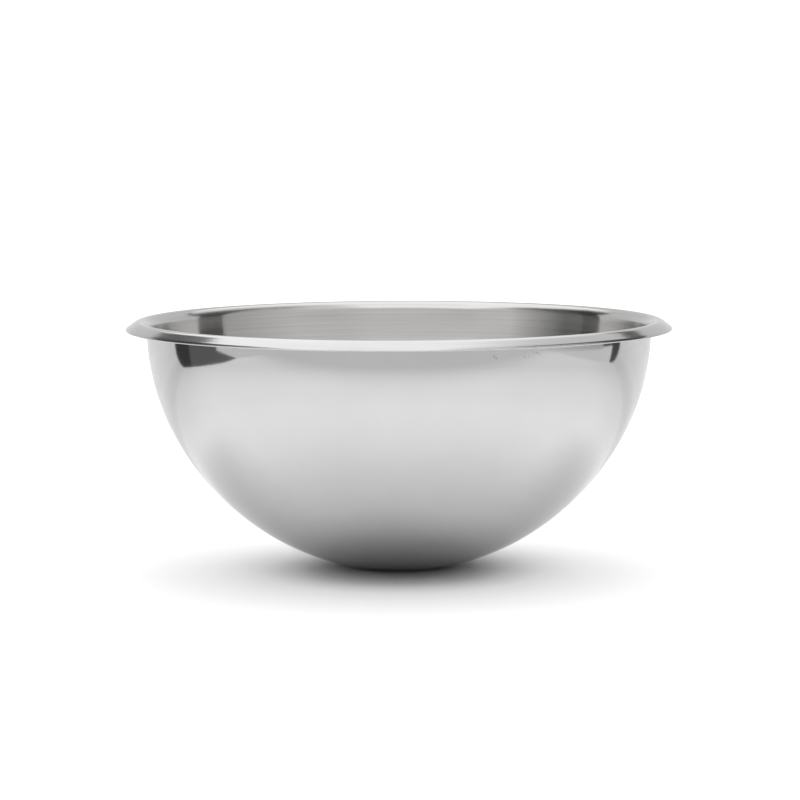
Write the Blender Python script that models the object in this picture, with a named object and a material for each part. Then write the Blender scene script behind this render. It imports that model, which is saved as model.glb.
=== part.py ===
"""Hemispherical mixing bowl, spun from one disc of stainless steel.

The bowl is a single sheet: a small flat base, a wall that rises in one curve until it
is upright, and a rim that bends outwards over a crest, slopes down and ends in a
turned-down lip. The section is drawn along the outside of the sheet, thickened
towards the inside, and turned about the Z axis.

Metres, +Z up. The origin is the middle of the base's underside.
"""

import math

import bmesh
import bpy

# Driving dimensions, in metres.
INNER_DIAMETER = 0.240  # inside the wall, where it is upright
HEIGHT = 0.1185  # underside of the base to the crest of the rim
SHEET = 0.001  # thickness of the steel
BASE_DIAMETER = 0.052  # flat that the bowl stands on
BASE_BLEND = 0.020  # radius between the flat and the wall
RIM_WIDTH = 0.0112  # inside of the wall to the outermost point of the rim
RIM_BEND = 0.0045  # radius of the crest, on its upper side
LIP_BEND = 0.0025  # radius where the rim turns down into the lip

# Driving shape values without a length.
FULLNESS = 1.94  # exponent of the wall's curve: 2 is an ellipse, less is slimmer
RIM_SLOPE = math.radians(35)  # fall of the straight part of the rim
LIP_SLOPE = math.radians(75)  # fall of the lip at its edge

# Fineness of the mesh.
TURN_STEPS = 64  # around the axis
WALL_STEPS = 18  # up the wall
BEND_STEP = math.radians(18)  # around the small bends

STEEL_COLOUR = (0.56, 0.56, 0.555, 1.0)
STEEL_ROUGHNESS = 0.15


def clear_scene():
    for obj in list(bpy.data.objects):
        bpy.data.objects.remove(obj, do_unlink=True)


def arc_headings(start, end):
    """Headings from start to end in even steps, without the first."""
    steps = max(2, math.ceil(abs(end - start) / BEND_STEP))
    return [start + (end - start) * i / steps for i in range(1, steps + 1)]


def bend(path, radius, end_heading):
    """Adds an arc to the path, tangent to its last point, up to the heading given."""
    r, z, heading = path[-1]
    side = math.copysign(1, end_heading - heading)
    centre_r = r - side * radius * math.sin(heading)
    centre_z = z + side * radius * math.cos(heading)
    for h in arc_headings(heading, end_heading):
        path.append((centre_r + side * radius * math.sin(h), centre_z - side * radius * math.cos(h), h))


def run(path, length):
    """Adds a straight stretch to the path."""
    r, z, heading = path[-1]
    path.append((r + length * math.cos(heading), z + length * math.sin(heading), heading))


def base_and_wall():
    """The outside of the sheet from the middle of the base to the top of the wall."""
    outer_radius = INNER_DIAMETER / 2 + SHEET
    top = HEIGHT - RIM_BEND
    base_share = BASE_DIAMETER / 2 / outer_radius
    depth = top / (1 - base_share**FULLNESS) ** (1 / FULLNESS)

    def wall_heading(share):
        rise = depth / outer_radius * share ** (FULLNESS - 1)
        return math.atan2(rise, (1 - share**FULLNESS) ** (1 - 1 / FULLNESS))

    start_heading = wall_heading(base_share)
    blend_reach = BASE_BLEND * math.tan(start_heading / 2)
    path = [(0.0, 0.0, 0.0), (BASE_DIAMETER / 2 - blend_reach, 0.0, 0.0)]
    bend(path, BASE_BLEND, start_heading)
    start = math.acos((path[-1][0] / outer_radius) ** (FULLNESS / 2))
    for i in range(1, WALL_STEPS + 1):
        angle = start * (1 - i / WALL_STEPS)
        share = math.cos(angle) ** (2 / FULLNESS)
        rise = math.sin(angle) ** (2 / FULLNESS)
        path.append((outer_radius * share, top - depth * rise, wall_heading(share)))
    return path


def rim(path):
    """Adds the rim to the path: over the crest, down the slope and round into the lip."""
    crest_reach = RIM_BEND * (1 + math.sin(RIM_SLOPE))
    lip_reach = LIP_BEND * (math.sin(LIP_SLOPE) - math.sin(RIM_SLOPE))
    edge_reach = SHEET / 2 * (1 - math.sin(LIP_SLOPE))
    bend(path, RIM_BEND - SHEET, -RIM_SLOPE)
    run(path, (RIM_WIDTH - crest_reach - lip_reach - edge_reach) / math.cos(RIM_SLOPE))
    bend(path, LIP_BEND - SHEET, -LIP_SLOPE)


def edge(path):
    """The round edge of the sheet, from its underside to its upper side at the end of the path."""
    r, z, heading = path[-1]
    centre_r = r - SHEET / 2 * math.sin(heading)
    centre_z = z + SHEET / 2 * math.cos(heading)
    turns = [math.pi * i / 4 for i in range(1, 4)]
    return [
        (
            centre_r + SHEET / 2 * math.sin(heading + turn),
            centre_z - SHEET / 2 * math.cos(heading + turn),
        )
        for turn in turns
    ]


def section():
    """The closed outline of the sheet, as (radius, height) points from axis to axis."""
    path = base_and_wall()
    rim(path)
    outside = [(r, z) for r, z, _ in path]
    inside = [(r - SHEET * math.sin(h), z + SHEET * math.cos(h)) for r, z, h in path]
    return outside + edge(path) + inside[::-1]


def turned_mesh(name, outline):
    """A mesh of the outline turned once about the Z axis."""
    bm = bmesh.new()
    points = [bm.verts.new((r, 0.0, z)) for r, z in outline]
    lines = [bm.edges.new(pair) for pair in zip(points, points[1:])]
    bmesh.ops.spin(
        bm,
        geom=points + lines,
        cent=(0, 0, 0),
        axis=(0, 0, 1),
        angle=math.tau,
        steps=TURN_STEPS,
        use_merge=True,
    )
    bmesh.ops.remove_doubles(bm, verts=bm.verts, dist=1e-7)
    bmesh.ops.recalc_face_normals(bm, faces=bm.faces)
    mesh = bpy.data.meshes.new(name)
    bm.to_mesh(mesh)
    bm.free()
    mesh.shade_smooth()
    return mesh


def steel():
    material = bpy.data.materials.new("stainless_steel")
    material.use_nodes = True
    shader = material.node_tree.nodes["Principled BSDF"]
    shader.inputs["Base Color"].default_value = STEEL_COLOUR
    shader.inputs["Metallic"].default_value = 1.0
    shader.inputs["Roughness"].default_value = STEEL_ROUGHNESS
    return material


def bowl():
    mesh = turned_mesh("bowl", section())
    mesh.materials.append(steel())
    bpy.context.scene.collection.objects.link(bpy.data.objects.new("bowl", mesh))


clear_scene()
bowl()
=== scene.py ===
"""Hemispherical mixing bowl in stainless steel, standing on white paper in studio light.

The bowl is one sheet of steel. Its section is drawn point by point, spun round the axis
and given its thickness. The outside is buffed to a mirror, the inside is brushed round
on the lathe, and the rim is polished over its bend.

Metres, +Z up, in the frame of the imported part: the bowl stands on z = 0, centred on Z,
and the camera looks along +Y.
"""

import math

import bpy
from mathutils import Matrix, Vector


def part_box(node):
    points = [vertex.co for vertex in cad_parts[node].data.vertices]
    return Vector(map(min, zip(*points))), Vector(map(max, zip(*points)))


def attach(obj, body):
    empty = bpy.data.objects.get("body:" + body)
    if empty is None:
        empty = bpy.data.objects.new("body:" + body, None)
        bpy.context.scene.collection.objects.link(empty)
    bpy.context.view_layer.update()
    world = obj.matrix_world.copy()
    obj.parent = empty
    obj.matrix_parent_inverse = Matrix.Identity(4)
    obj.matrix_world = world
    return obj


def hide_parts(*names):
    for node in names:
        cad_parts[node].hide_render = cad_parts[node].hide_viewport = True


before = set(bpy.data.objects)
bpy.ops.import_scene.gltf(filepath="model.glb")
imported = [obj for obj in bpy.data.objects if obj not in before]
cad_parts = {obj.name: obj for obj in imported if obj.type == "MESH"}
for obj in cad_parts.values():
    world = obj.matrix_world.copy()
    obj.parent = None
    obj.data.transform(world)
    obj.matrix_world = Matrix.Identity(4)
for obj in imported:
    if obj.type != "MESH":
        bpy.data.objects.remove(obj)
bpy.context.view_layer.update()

MM = 0.001

# The bowl's sizes. The frame gives the height and the radius over the rim.
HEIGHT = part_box("bowl")[1].z
RIM_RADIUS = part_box("bowl")[1].x
SHEET = 1.0 * MM
BASE_RADIUS = 26 * MM
BASE_BLEND = 20 * MM  # radius of the bend between the base and the wall
RIM_WIDTH = 11.2 * MM  # inside of the wall to the outermost point of the rim
RIM_BEND = 4.5 * MM  # radius of the crest, on its upper side
LIP_BEND = 2.5 * MM  # the same for the bend at the lip
FULLNESS = 1.94  # how round the wall's section is: 2 is an ellipse, and less is slimmer
RIM_SLOPE = math.radians(35)
LIP_SLOPE = math.radians(75)
EDGE_ROUNDING = 0.35 * MM
BRUSHED_BEND = 3.7 * MM  # how far up the crest's bend the wall's finishes run

# How finely the bowl is drawn.
TURN_STEPS = 256
BASE_STEPS = 6
WALL_STEPS = 72
SLOPE_STEPS = 4
BEND_STEP = math.radians(6)
EDGE_STEPS = 4
SHARP_EDGE = math.radians(60)

# Each finish's colours, from its darker to its lighter patches, and its roughness, from glossier to
# hazier ones. Both are spread over the middle of a noise's range.
MIDDLE_OF_NOISE = (0.25, 0.75)
WALL_TINT = ("CFCFD0", "D3D3D4")
WALL_ROUGHNESS = (0.05, 0.10)
INSIDE_TINT = ("CAC9C7", "D6D5D4")
INSIDE_ROUGHNESS = (0.12, 0.20)
RIM_TINT = ("C9CAC9", "D5D6D5")
RIM_ROUGHNESS = (0.10, 0.18)
PIT_COLOUR = "6A6866"
PIT_ROUGHNESS = 0.5

# The size of each finish's patches and waves. Lines are (distance apart, length round the axis).
CLOUDS = 30 * MM
HAZE = 22 * MM
WALL_WAVES = 28 * MM
RIM_WAVES = 14 * MM
ORANGE_PEEL = 1.6 * MM
PIT_RAGGEDNESS = 0.9 * MM
LATHE_LINES = (1.1 * MM, 150 * MM)
LATHE_BANDS = (6 * MM, 200 * MM)
RIM_LINES = (1.0 * MM, 45 * MM)

# How deep they are, and how far the faces of the brushed grooves lean upwards, as a slope.
WAVE_DEPTH = 0.03 * MM
PEEL_DEPTH = 0.004 * MM
GROOVE_DEPTH = 0.002 * MM
GROOVE_LEAN = 0.10

# Small marks of use: degrees round from the front to the right, height, distance from the axis, radius.
WALL_PITS = [
    (20.5, 110.2 * MM, 121 * MM, 0.5 * MM),
    (21.0, 109.3 * MM, 121 * MM, 0.5 * MM),
    (27.7, 109.5 * MM, 121 * MM, 0.5 * MM),
    (28.6, 109.4 * MM, 121 * MM, 0.4 * MM),
    (29.9, 111.4 * MM, 121 * MM, 0.35 * MM),
    (30.6, 111.2 * MM, 121 * MM, 0.35 * MM),
    (31.1, 110.8 * MM, 121 * MM, 0.4 * MM),
]
RIM_PITS = [
    (-71.1, 116.2 * MM, 129.4 * MM, 0.6 * MM),
    (-36.4, 118.4 * MM, 125.6 * MM, 0.4 * MM),
    (-35.9, 118.4 * MM, 126.0 * MM, 0.4 * MM),
]

# The camera looks at a point near the axis from slightly above the rim.
CAMERA_DISTANCE = 1.5
CAMERA_RISE = math.radians(5.876)
CAMERA_ROLL = math.radians(-0.18)
CAMERA_TARGET = Vector((0.0004, 0, 0.0793))
CAMERA_LENS_MM = 140
CAMERA_SENSOR_MM = 36
CAMERA_NEAREST = 0.05

# The white paper under the bowl, as the steel reflects it. It turns up in a tight bend behind the bowl,
# and a backdrop stands further back. The sides are (left, right), and the front is a list of rows from
# the bowl to the camera, each (y, left, right).
PAPER_FOOT = 0.130
PAPER_BEND = 0.060
PAPER_RISE = 0.075
PAPER_BEND_STEPS = 32
PAPER_SIDES = (-0.513, 0.563)
PAPER_FRONT = [(-0.01, -0.539, 0.605), (-0.13, -0.580, 0.670), (-0.25, -0.680, 0.780), (-1.30, -1.300, 1.300)]
BACKDROP_SIDES = (-0.60, 0.56)
BACKDROP_EDGE = 0.62
BACKDROP_BACK = 0.33
BACKDROP_TOP = 0.335

# The floor that the camera sees lies just under the bowl.
FLOOR_SIZE = 40
FLOOR_DROP = 0.1 * MM

# Painted shade on the paper, as (distance from the middle of the shadow, albedo): the greys close under
# the bowl deepen its cast contact shadow, and the far stops paint the light falling off away from the bowl.
# The floor leaves out the far stops, and stays white there.
SHADOW_MIDDLE = -0.026
PAPER_REACH = 0.60
PAPER_PAINTED_SHADE = [(0.0, 0.45), (0.020, 0.50), (0.035, 0.62), (0.050, 0.85), (0.065, 0.97), (0.085, 0.98),
               (0.13, 0.96), (0.18, 0.88), (0.26, 0.76), (0.50, 0.60)]
PAPER_FAR_STOPS = 3

# Light and shade painted into the reflected paper's colour: it darkens to the front and behind the bowl,
# lightens on the rise, and is darker under the bowl's two sides. Each fade is (where it starts, where it
# ends).
FRONT_FADE = (-0.54, -0.26)
FRONT_LIGHT = 0.78
BACK_FADE = (-0.06, 0.13)
BACK_LIGHT = 0.88
RISE_FADE = (0, 0.03)
RISE_LIGHT = 1.34
SIDE_SHADE = 0.24
SIDE_SHADE_ASIDE = (0.015, 0.08)
SIDE_SHADE_BEHIND = (-0.085, -0.01)
SIDE_SHADE_OUTWARDS = (0.12, 0.21)

# The world, beside white: the dark room that the steel reflects and how much lighter it gets upwards,
# the sky that lights the floor and how much more of it comes from behind, and what the camera sees.
ROOM = 0.11
ROOM_ABOVE = 1.2 * ROOM
ROOM_FADE = 0.5
SKY = 1.55
SKY_TILT = 1.0
BEHIND_ALL = 1.2


def deselect_everything():
    if bpy.context.mode != "OBJECT":
        bpy.ops.object.mode_set(mode="OBJECT")
    bpy.ops.object.select_all(action="DESELECT")


def linear(hex_colour):
    """An sRGB hex colour as the linear RGBA that sockets take."""
    channels = [int(hex_colour[i:i + 2], 16) / 255 for i in (0, 2, 4)]
    return tuple(c / 12.92 if c <= 0.04045 else ((c + 0.055) / 1.055) ** 2.4 for c in channels) + (1.0,)


def node(tree, kind, inputs=None, **settings):
    """Adds a node. Settings are its attributes, or values for its inputs by name. Inputs are
    {name or number: another node's output, or a value}."""
    made = tree.nodes.new(kind)
    for name, value in settings.items():
        if hasattr(made, name):
            setattr(made, name, value)
        else:
            made.inputs[name.replace("_", " ")].default_value = value
    for name, source in (inputs or {}).items():
        if isinstance(source, bpy.types.NodeSocket):
            tree.links.new(source, made.inputs[name])
        else:
            made.inputs[name].default_value = source
    return made


# ---------------------------------------------------------------- the bowl's section


def bend(path, radius, end_heading):
    """Adds an arc to the path, tangent to its last point, up to the heading given."""
    r, z, heading = path[-1]
    side = math.copysign(1, end_heading - heading)
    centre_r = r - side * radius * math.sin(heading)
    centre_z = z + side * radius * math.cos(heading)
    steps = max(2, math.ceil(abs(end_heading - heading) / BEND_STEP))
    for i in range(1, steps + 1):
        h = heading + (end_heading - heading) * i / steps
        path.append((centre_r + side * radius * math.sin(h), centre_z - side * radius * math.cos(h), h))


def run(path, length, steps):
    """Adds a straight stretch to the path."""
    r, z, heading = path[-1]
    for i in range(1, steps + 1):
        reach = length * i / steps
        path.append((r + reach * math.cos(heading), z + reach * math.sin(heading), heading))


def outside_of_sheet():
    """The outside of the sheet as (radius, height, heading), from the axis to the lip's edge."""
    wall_radius = RIM_RADIUS - RIM_WIDTH + SHEET
    top = HEIGHT - RIM_BEND
    base_share = BASE_RADIUS / wall_radius
    depth = top / (1 - base_share**FULLNESS) ** (1 / FULLNESS)

    def wall_heading(share):
        rise = depth / wall_radius * share ** (FULLNESS - 1)
        return math.atan2(rise, (1 - share**FULLNESS) ** (1 - 1 / FULLNESS))

    start_heading = wall_heading(base_share)
    path = [(0.0, 0.0, 0.0)]
    run(path, BASE_RADIUS - BASE_BLEND * math.tan(start_heading / 2), BASE_STEPS)
    bend(path, BASE_BLEND, start_heading)
    start = math.acos((path[-1][0] / wall_radius) ** (FULLNESS / 2))
    for i in range(1, WALL_STEPS + 1):
        angle = start * (1 - i / WALL_STEPS)
        share = math.cos(angle) ** (2 / FULLNESS)
        rise = math.sin(angle) ** (2 / FULLNESS)
        path.append((wall_radius * share, top - depth * rise, wall_heading(share)))

    crest_reach = RIM_BEND * (1 + math.sin(RIM_SLOPE))
    lip_reach = LIP_BEND * (math.sin(LIP_SLOPE) - math.sin(RIM_SLOPE))
    bend(path, RIM_BEND - SHEET, -RIM_SLOPE)
    run(path, (RIM_WIDTH - (crest_reach + lip_reach)) / math.cos(RIM_SLOPE), SLOPE_STEPS)
    bend(path, LIP_BEND - SHEET, -LIP_SLOPE)
    return path


# ---------------------------------------------------------------- modelling


def start_point(name, x, y, z):
    """A mesh of one point, in edit mode, to extrude from."""
    deselect_everything()
    bpy.ops.mesh.primitive_plane_add(size=1 * MM, location=(0, 0, 0))
    made = bpy.context.object
    made.name = name
    bpy.ops.object.mode_set(mode="EDIT")
    bpy.ops.mesh.select_mode(type="VERT")
    bpy.ops.mesh.select_all(action="SELECT")
    bpy.ops.mesh.merge(type="CENTER")
    bpy.ops.transform.translate(value=(x, y, z))
    return made


def extrude_by(x, y, z):
    bpy.ops.mesh.extrude_region_move(TRANSFORM_OT_translate={"value": (x, y, z)})


def spin_bowl():
    """The sheet of the bowl: its section extruded point by point, spun, and thickened inwards."""
    path = outside_of_sheet()
    bowl = start_point("bowl_shell", 0, 0, 0)
    for (r0, z0, _), (r1, z1, _) in zip(path, path[1:]):
        extrude_by(r1 - r0, 0, z1 - z0)
    bpy.ops.mesh.select_all(action="SELECT")
    bpy.ops.mesh.spin(steps=TURN_STEPS, angle=math.tau, center=(0, 0, 0), axis=(0, 0, 1))
    bpy.ops.mesh.select_all(action="SELECT")
    bpy.ops.mesh.remove_doubles(threshold=0.002 * MM)
    bpy.ops.mesh.normals_make_consistent(inside=False)
    bpy.ops.object.mode_set(mode="OBJECT")
    if bowl.data.polygons[0].normal.z < 0:
        raise RuntimeError("the sheet's faces must look into the bowl before it gets its thickness")

    solidify = bowl.modifiers.new("sheet thickness", "SOLIDIFY")
    solidify.thickness = SHEET
    solidify.offset = 1
    solidify.use_even_offset = True
    bpy.ops.object.modifier_apply(modifier=solidify.name)

    bpy.ops.object.mode_set(mode="EDIT")
    bpy.ops.mesh.select_mode(type="EDGE")
    bpy.ops.mesh.select_all(action="DESELECT")
    bpy.ops.mesh.edges_select_sharp(sharpness=SHARP_EDGE)
    bpy.ops.mesh.bevel(offset=EDGE_ROUNDING, segments=EDGE_STEPS, affect="EDGES")
    bpy.ops.object.mode_set(mode="OBJECT")
    bpy.ops.object.shade_smooth()
    return bowl


def finish_faces(bowl, outside, inside, rim):
    """Gives the wall's two sides and the rim their own finishes, by where each face lies."""
    for material in (outside, inside, rim):
        bowl.data.materials.append(material)
    past_wall = RIM_RADIUS - RIM_WIDTH + 1.5 * SHEET
    top = HEIGHT - RIM_BEND
    for face in bowl.data.polygons:
        centre = face.center
        outwards = Vector((centre.x, centre.y, centre.z - top)).dot(face.normal) > 0
        if centre.z > top + BRUSHED_BEND or centre.xy.length > past_wall:
            face.material_index = 2
        else:
            face.material_index = 0 if outwards else 1


# ---------------------------------------------------------------- materials


def steel(name, colour, roughness):
    """A metal shader of its own tree, to build a finish on. The colour and roughness are typical of
    the finish, and its patches take their place."""
    material = bpy.data.materials.new(name)
    material.use_nodes = True
    shader = material.node_tree.nodes["Principled BSDF"]
    shader.inputs["Metallic"].default_value = 1.0
    shader.inputs["Base Color"].default_value = linear(colour)
    shader.inputs["Roughness"].default_value = roughness
    return material, material.node_tree, shader


def patchy(tree, shader, tinting, tints, hazing, roughness):
    """Spreads the finish's colours over the patches of one noise, and its roughness over another's."""
    low, high = MIDDLE_OF_NOISE
    colour = node(tree, "ShaderNodeValToRGB", {"Fac": tinting.outputs[0]})
    for element, position, tint in zip(colour.color_ramp.elements, MIDDLE_OF_NOISE, tints):
        element.position = position
        element.color = linear(tint)
    tree.links.new(colour.outputs[0], shader.inputs["Base Color"])
    hazy = node(tree, "ShaderNodeMapRange", {"Value": hazing.outputs[0]}, From_Min=low, From_Max=high,
                To_Min=roughness[0], To_Max=roughness[1])
    tree.links.new(hazy.outputs[0], shader.inputs["Roughness"])


def lathe_lines(tree, spacing, length, detail=3.0):
    """Noise drawn out round the axis: spacing is how far apart the lines lie along the section,
    and length how far round they run."""
    place = node(tree, "ShaderNodeTexCoord").outputs["Object"]
    split = node(tree, "ShaderNodeSeparateXYZ", {"Vector": place})
    level = node(tree, "ShaderNodeVectorMath", {0: place, 1: (1, 1, 0)}, operation="MULTIPLY")
    radius = node(tree, "ShaderNodeVectorMath", {0: level.outputs[0]}, operation="LENGTH")
    along = node(tree, "ShaderNodeMath", {0: radius.outputs["Value"], 1: split.outputs["Z"]}, operation="ADD")
    across = node(tree, "ShaderNodeMath", {0: along.outputs[0], 1: spacing}, operation="DIVIDE")
    turned = node(tree, "ShaderNodeVectorMath", {0: level.outputs[0]}, operation="SCALE", Scale=1 / length)
    drawn = node(tree, "ShaderNodeCombineXYZ", {"Z": across.outputs[0]})
    whole = node(tree, "ShaderNodeVectorMath", {0: turned.outputs[0], 1: drawn.outputs[0]}, operation="ADD")
    return node(tree, "ShaderNodeTexNoise", {"Vector": whole.outputs[0]}, Scale=1.0, Detail=detail,
                Roughness=0.6)


def pitted(tree, shader, pits):
    """Puts small dull pits with ragged edges into a finish, over its patches."""
    place = node(tree, "ShaderNodeTexCoord").outputs["Object"]
    ragged = node(tree, "ShaderNodeTexNoise", {"Vector": place}, Scale=1 / PIT_RAGGEDNESS)
    clear = None
    for around, height, out, size in pits:
        turn = math.radians(around)
        middle = (out * math.sin(turn), -out * math.cos(turn), height)
        reach = node(tree, "ShaderNodeVectorMath", {0: place, 1: middle}, operation="DISTANCE")
        wide = node(tree, "ShaderNodeMath", {0: ragged.outputs[0], 1: 2 * size}, operation="MULTIPLY")
        edge = node(tree, "ShaderNodeMapRange",
                    {"Value": reach.outputs["Value"], "From Max": wide.outputs[0]})
        if clear:
            edge = node(tree, "ShaderNodeMath", {0: clear, 1: edge.outputs[0]}, operation="MULTIPLY")
        clear = edge.outputs[0]
    bright = shader.inputs["Base Color"].links[0].from_socket
    mixed = node(tree, "ShaderNodeMix", {0: clear, 6: linear(PIT_COLOUR), 7: bright}, data_type="RGBA")
    tree.links.new(mixed.outputs[2], shader.inputs["Base Color"])
    smooth = shader.inputs["Roughness"].links[0].from_socket
    rough = node(tree, "ShaderNodeMix", {0: clear, 2: PIT_ROUGHNESS, 3: smooth}, data_type="FLOAT")
    tree.links.new(rough.outputs[0], shader.inputs["Roughness"])


def polished_steel():
    """Stainless steel sheet, buffed to a near mirror: a crisp reflection with a thin haze. The buffing
    leaves soft cloudy patches a few centimetres wide and an orange peel too faint to see but in edges."""
    material, tree, shader = steel("mirror-buffed stainless steel", WALL_TINT[0], 0.07)
    place = node(tree, "ShaderNodeTexCoord").outputs["Object"]
    cloudy = node(tree, "ShaderNodeTexNoise", {"Vector": place}, Scale=1 / CLOUDS, Detail=3)
    hazy = node(tree, "ShaderNodeTexNoise", {"Vector": place}, Scale=1 / HAZE, Detail=4)
    patchy(tree, shader, cloudy, WALL_TINT, hazy, WALL_ROUGHNESS)
    waves = node(tree, "ShaderNodeTexNoise", {"Vector": place}, Scale=1 / WALL_WAVES, Detail=1)
    dents = node(tree, "ShaderNodeBump", {"Height": waves.outputs[0]}, Strength=1.0, Distance=WAVE_DEPTH)
    peel = node(tree, "ShaderNodeTexNoise", {"Vector": place}, Scale=1 / ORANGE_PEEL, Detail=2)
    skin = node(tree, "ShaderNodeBump", {"Height": peel.outputs[0], "Normal": dents.outputs[0]}, Strength=1.0,
                Distance=PEEL_DEPTH)
    tree.links.new(skin.outputs[0], shader.inputs["Normal"])
    pitted(tree, shader, WALL_PITS)
    return material


def brushed_steel():
    """Stainless steel sheet, brushed round the axis: reflections smear up and down, not sideways, and
    fine lines run round the wall. The lines are drawn about 1 mm apart, far coarser than the grit's.
    The grooves' faces lean a little upwards, so the wall mirrors the room and not its own far side."""
    material, tree, shader = steel("lathe-brushed stainless steel", INSIDE_TINT[0], 0.18)
    shader.inputs["Anisotropic"].default_value = 1.0
    shader.inputs["Anisotropic Rotation"].default_value = 0.25
    tangent = node(tree, "ShaderNodeTangent", direction_type="RADIAL", axis="Z")
    tree.links.new(tangent.outputs["Tangent"], shader.inputs["Tangent"])
    lines = lathe_lines(tree, *LATHE_LINES)
    bands = lathe_lines(tree, *LATHE_BANDS, detail=2)
    patchy(tree, shader, lines, INSIDE_TINT, bands, INSIDE_ROUGHNESS)
    facing = node(tree, "ShaderNodeNewGeometry").outputs["Normal"]
    leaning = node(tree, "ShaderNodeVectorMath", {0: facing, 1: (0, 0, GROOVE_LEAN)}, operation="ADD")
    grooves = node(tree, "ShaderNodeVectorMath", {0: leaning.outputs[0]}, operation="NORMALIZE")
    bump = node(tree, "ShaderNodeBump", {"Height": lines.outputs[0], "Normal": grooves.outputs[0]},
                Strength=1.0, Distance=GROOVE_DEPTH)
    tree.links.new(bump.outputs[0], shader.inputs["Normal"])
    return material


def rim_steel():
    """Stainless steel, polished over the rim's bend: hazier than the wall, with faint lines round it."""
    material, tree, shader = steel("polished stainless steel rim", RIM_TINT[0], 0.15)
    lines = lathe_lines(tree, *RIM_LINES)
    patchy(tree, shader, lines, RIM_TINT, lines, RIM_ROUGHNESS)
    place = node(tree, "ShaderNodeTexCoord").outputs["Object"]
    waves = node(tree, "ShaderNodeTexNoise", {"Vector": place}, Scale=1 / RIM_WAVES, Detail=1)
    bump = node(tree, "ShaderNodeBump", {"Height": waves.outputs[0]}, Strength=1.0, Distance=WAVE_DEPTH)
    tree.links.new(bump.outputs[0], shader.inputs["Normal"])
    pitted(tree, shader, RIM_PITS)
    return material


# ---------------------------------------------------------------- studio


def stage_object(obj, seen_by_camera, lights_table):
    """Sets what a part of the studio shows to; it casts no shadow."""
    obj.visible_camera = seen_by_camera
    obj.visible_diffuse = lights_table
    obj.visible_shadow = False


def painted_shade_paper(as_reflected):
    """Matt white paper with painted shade: greyer close under the bowl, to deepen the cast contact shadow.
    As the steel reflects it, painted light and shade also grey it far out and follow the studio's light."""
    material = bpy.data.materials.new("white studio paper, painted shade")
    material.use_nodes = True
    tree = material.node_tree
    shader = tree.nodes["Principled BSDF"]
    shader.inputs["Roughness"].default_value = 1.0
    shader.inputs["Specular IOR Level"].default_value = 0.0
    place = node(tree, "ShaderNodeTexCoord").outputs["Object"]
    centred = node(tree, "ShaderNodeMapping", {"Vector": place, "Location": (0, -SHADOW_MIDDLE, 0)})
    reach = node(tree, "ShaderNodeVectorMath", {0: centred.outputs[0]}, operation="LENGTH").outputs["Value"]
    out = node(tree, "ShaderNodeMapRange", {"Value": reach}, From_Max=PAPER_REACH)
    ramp = node(tree, "ShaderNodeValToRGB", {"Fac": out.outputs["Result"]})
    stops = PAPER_PAINTED_SHADE if as_reflected else PAPER_PAINTED_SHADE[:-PAPER_FAR_STOPS]
    for distance, _ in stops[1:-1]:
        ramp.color_ramp.elements.new(distance / PAPER_REACH)
    for element, (distance, grey) in zip(ramp.color_ramp.elements, stops):
        element.position = distance / PAPER_REACH
        element.color = (grey, grey, grey, 1)
    if not as_reflected:
        tree.links.new(ramp.outputs[0], shader.inputs["Base Color"])
        return material

    # Painted light and shade, as fades that are multiplied: what each runs along, where, its light at either
    # end, and its curve.
    split = node(tree, "ShaderNodeSeparateXYZ", {"Vector": place})
    aside = node(tree, "ShaderNodeMath", {0: split.outputs["X"]}, operation="ABSOLUTE")
    shade_fades = [
        (aside.outputs[0], SIDE_SHADE_ASIDE, (0, 1), "SMOOTHSTEP"),
        (reach, SIDE_SHADE_OUTWARDS, (1, 0), "SMOOTHSTEP"),
        (split.outputs["Y"], SIDE_SHADE_BEHIND, (0, SIDE_SHADE), "SMOOTHSTEP"),
    ]
    light_fades = [
        (split.outputs["Y"], FRONT_FADE, (FRONT_LIGHT, 1), "SMOOTHSTEP"),
        (split.outputs["Y"], BACK_FADE, (1, BACK_LIGHT), "SMOOTHSTEP"),
        (split.outputs["Z"], RISE_FADE, (1, RISE_LIGHT), "LINEAR"),
    ]
    products = []
    for fades in (shade_fades, light_fades):
        product = 1.0
        for along, (start, end), (first, last), curve in fades:
            faded = node(tree, "ShaderNodeMapRange", {"Value": along}, interpolation_type=curve,
                         From_Min=start, From_Max=end, To_Min=first, To_Max=last)
            product = node(tree, "ShaderNodeMath", {0: product, 1: faded.outputs[0]},
                           operation="MULTIPLY").outputs[0]
        products.append(product)
    shade, light = products
    unshaded = node(tree, "ShaderNodeMath", {0: 1.0, 1: shade}, operation="SUBTRACT")
    lit = node(tree, "ShaderNodeMath", {0: light, 1: unshaded.outputs[0]}, operation="MULTIPLY")
    dimmed = node(tree, "ShaderNodeVectorMath", {0: ramp.outputs[0], "Scale": lit.outputs[0]},
                  operation="SCALE")
    tree.links.new(dimmed.outputs[0], shader.inputs["Base Color"])
    return material


def glowing(name, glow, fade=None):
    """A glowing card of the studio, as bright as glow beside white. A fade is an axis, where along it
    the card starts to change, where it ends, and how bright it is there."""
    material = bpy.data.materials.new(name)
    material.use_nodes = True
    tree = material.node_tree
    tree.nodes.clear()
    emission = node(tree, "ShaderNodeEmission", Color=(1, 1, 1, 1), Strength=glow)
    if fade:
        axis, start, end, end_glow = fade
        place = node(tree, "ShaderNodeTexCoord")
        split = node(tree, "ShaderNodeSeparateXYZ", {"Vector": place.outputs["Object"]})
        fading = node(tree, "ShaderNodeMapRange", {"Value": split.outputs[axis]}, From_Min=start,
                      From_Max=end, To_Min=glow, To_Max=end_glow)
        tree.links.new(fading.outputs[0], emission.inputs["Strength"])
    node(tree, "ShaderNodeOutputMaterial", {"Surface": emission.outputs[0]})
    return material


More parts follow.
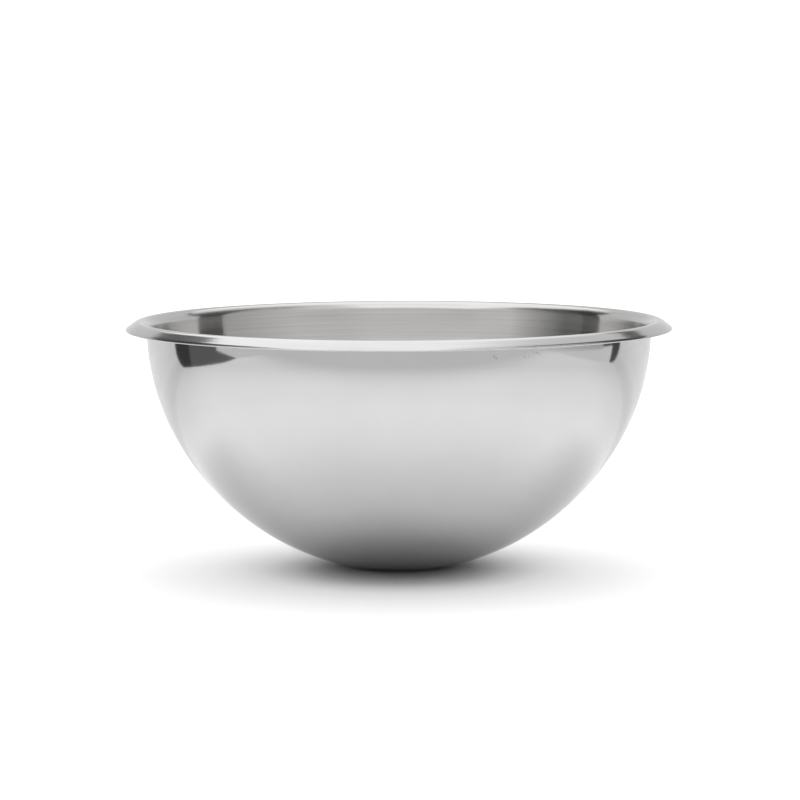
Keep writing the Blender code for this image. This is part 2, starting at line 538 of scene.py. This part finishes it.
def build_paper():
    """The paper under the bowl and its rise behind it, as the steel reflects them."""
    rows = [(PAPER_FOOT + PAPER_BEND, PAPER_RISE) + PAPER_SIDES]
    for i in range(PAPER_BEND_STEPS, -1, -1):
        turn = math.radians(90) * i / PAPER_BEND_STEPS
        y, z = PAPER_FOOT + PAPER_BEND * math.sin(turn), PAPER_BEND * (1 - math.cos(turn))
        rows.append((y, z) + PAPER_SIDES)
    rows += [(y, 0.0, left, right) for y, left, right in PAPER_FRONT]
    y, z, left, right = rows[0]
    paper = start_point("paper", left, y, z)
    extrude_by(right - left, 0, 0)
    bpy.ops.mesh.select_all(action="SELECT")
    for (y0, z0, left0, right0), (y, z, left, right) in zip(rows, rows[1:]):
        middle = (left + right) / 2
        extrude_by(middle - (left0 + right0) / 2, y - y0, z - z0)
        widening = (right - left) / (right0 - left0)
        bpy.ops.transform.resize(value=(widening, 1, 1), center_override=(middle, y, z))
    bpy.ops.object.mode_set(mode="OBJECT")
    bpy.ops.object.shade_smooth()
    # The paper's colour holds painted shade under the bowl and painted light and shade farther out.
    paper.data.materials.append(painted_shade_paper(True))
    stage_object(paper, False, False)


def build_floor():
    """The floor that the camera sees, plain white but for the bowl's shadow, cast and deepened by painted
    shade.
    """
    deselect_everything()
    bpy.ops.mesh.primitive_plane_add(size=FLOOR_SIZE, location=(0, 0, 0))
    floor = bpy.context.object
    floor.name = "floor"
    bpy.ops.object.mode_set(mode="EDIT")
    bpy.ops.transform.translate(value=(0, 0, -FLOOR_DROP))
    bpy.ops.object.mode_set(mode="OBJECT")
    floor.data.materials.append(painted_shade_paper(False))
    stage_object(floor, True, True)
    floor.visible_glossy = False


def card(name, edge, height, reach, glow, fade=None):
    """A glowing card that the steel reflects: the line through the edge's points, at the height given,
    drawn out by reach."""
    made = start_point(name, edge[0][0], edge[0][1], height)
    for (x0, y0), (x, y) in zip(edge, edge[1:]):
        extrude_by(x - x0, y - y0, 0)
    bpy.ops.mesh.select_all(action="SELECT")
    extrude_by(*reach)
    bpy.ops.object.mode_set(mode="OBJECT")
    made.data.materials.append(glowing(name, glow, fade))
    stage_object(made, False, False)


def light_studio():
    """Softboxes over the bowl, and glowing cards that stand in for the lit walls, tables and backdrop round
    it (painted light, some fading as the light falls off), with dark cards for a gap on either side.
    """
    card("overhead softbox", [(-0.555, 1.15), (0.42, 1.15)], 0.425, (0, -1.25, 1.25), 1.3,
         ("X", 0.25, 0.52, 0.76))
    card("right softbox", [(0.42, 0.80), (0.72, 0.80)], 0.775, (0, -0.90, 0.90), 1.0,
         ("X", 0.42, 0.52, 0.76))
    card("left softbox", [(-1.00, 0.95), (-0.40, 0.95)], 1.4, (0, -1.05, 0), 1.3)
    card("front softbox", [(-1.00, -0.10), (1.20, -0.10)], 1.4, (0, -1.05, -0.40), 1.3,
         ("X", 0.25, 0.52, 0.85))

    card("left wall", [(-0.95, 0.23), (-0.95, -1.15)], 0.05, (0, 0, 1.4), 0.74, ("Y", -0.58, 0.03, 0.13))
    card("left skirt", [(-0.95, 0.23), (-0.95, -0.30)], -0.3, (0, 0, 0.35), 0.13)
    card("left table", [(-1.3, 0.06), (-0.65, -0.22), (-0.74, -0.55), (-0.74, -1.15)], 0, (0, 0, 0.05), 0.72)
    card("front wall", [(-0.95, -1.15), (0.80, -1.15)], 0, (0, 0, 1.0), 0.72)
    card("right wall", [(0.80, -1.15), (0.88, -0.30), (0.90, 0.139)], 0, (0, 0, 1.43), 0.74,
         ("Y", -0.6, 0.0, 0.52))
    card("right table", [(0.570, 0.113), (1.60, 0.565)], -1 * MM, (0, -1.4, 0), 0.76)

    card("left curtain", [(-0.95, 0.23), (-0.95, 0.70)], -0.3, (0, 0, 1.3), 0.05)
    card("right curtain", [(1.00, 0.10), (1.00, 0.70)], -0.3, (0, 0, 1.1), 0.075)

    left, right = BACKDROP_SIDES
    card("backdrop", [(left, BACKDROP_BACK), (right, BACKDROP_BACK)], 0, (0, 0, BACKDROP_TOP), 0.86,
         ("Z", 0.10, 0.20, 0.68))
    card("backdrop edge", [(right, BACKDROP_BACK), (BACKDROP_EDGE, BACKDROP_BACK)], 0, (0, 0, BACKDROP_TOP),
         0.76, ("X", right, BACKDROP_EDGE, ROOM))


def studio_world():
    """White behind everything that the camera sees, soft light all round for the floor, most of it
    from behind, and a dark room for the steel to reflect."""
    world = bpy.data.worlds.new("studio")
    world.use_nodes = True
    tree = world.node_tree
    tree.nodes.clear()
    path = node(tree, "ShaderNodeLightPath")
    place = node(tree, "ShaderNodeTexCoord")
    split = node(tree, "ShaderNodeSeparateXYZ", {"Vector": place.outputs["Generated"]})
    tilt = node(tree, "ShaderNodeMath", {0: split.outputs["Y"], 1: SKY_TILT, 2: SKY},
                operation="MULTIPLY_ADD")
    dim = node(tree, "ShaderNodeMapRange", {"Value": split.outputs["Z"]}, From_Max=ROOM_FADE, To_Min=ROOM,
               To_Max=ROOM_ABOVE)
    room = node(tree, "ShaderNodeBackground", {"Strength": dim.outputs[0]}, Color=(1, 1, 1, 1))
    white = node(tree, "ShaderNodeBackground", Color=(1, 1, 1, 1), Strength=BEHIND_ALL)
    sky = node(tree, "ShaderNodeBackground", {"Strength": tilt.outputs[0]}, Color=(1, 1, 1, 1))
    unseen = node(tree, "ShaderNodeMixShader",
                  {0: path.outputs["Is Diffuse Ray"], 1: room.outputs[0], 2: sky.outputs[0]})
    whole = node(tree, "ShaderNodeMixShader",
                 {0: path.outputs["Is Camera Ray"], 1: unseen.outputs[0], 2: white.outputs[0]})
    node(tree, "ShaderNodeOutputWorld", {"Surface": whole.outputs[0]})
    bpy.context.scene.world = world


def place_camera():
    camera = bpy.data.objects.new("camera", bpy.data.cameras.new("camera"))
    camera.data.lens = CAMERA_LENS_MM
    camera.data.sensor_width = CAMERA_SENSOR_MM
    camera.data.clip_start = CAMERA_NEAREST
    away = Vector((0, -math.cos(CAMERA_RISE), math.sin(CAMERA_RISE)))
    turn = away.to_track_quat("Z", "Y").to_matrix().to_4x4() @ Matrix.Rotation(CAMERA_ROLL, 4, "Z")
    camera.matrix_world = Matrix.Translation(CAMERA_TARGET + away * CAMERA_DISTANCE) @ turn
    bpy.context.scene.collection.objects.link(camera)
    bpy.context.scene.camera = camera


place_camera()
build_paper()
build_floor()
light_studio()
studio_world()

bowl = spin_bowl()
finish_faces(bowl, polished_steel(), brushed_steel(), rim_steel())
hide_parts("bowl")
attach(bowl, "root")

bpy.context.scene.view_settings.view_transform = "Standard"
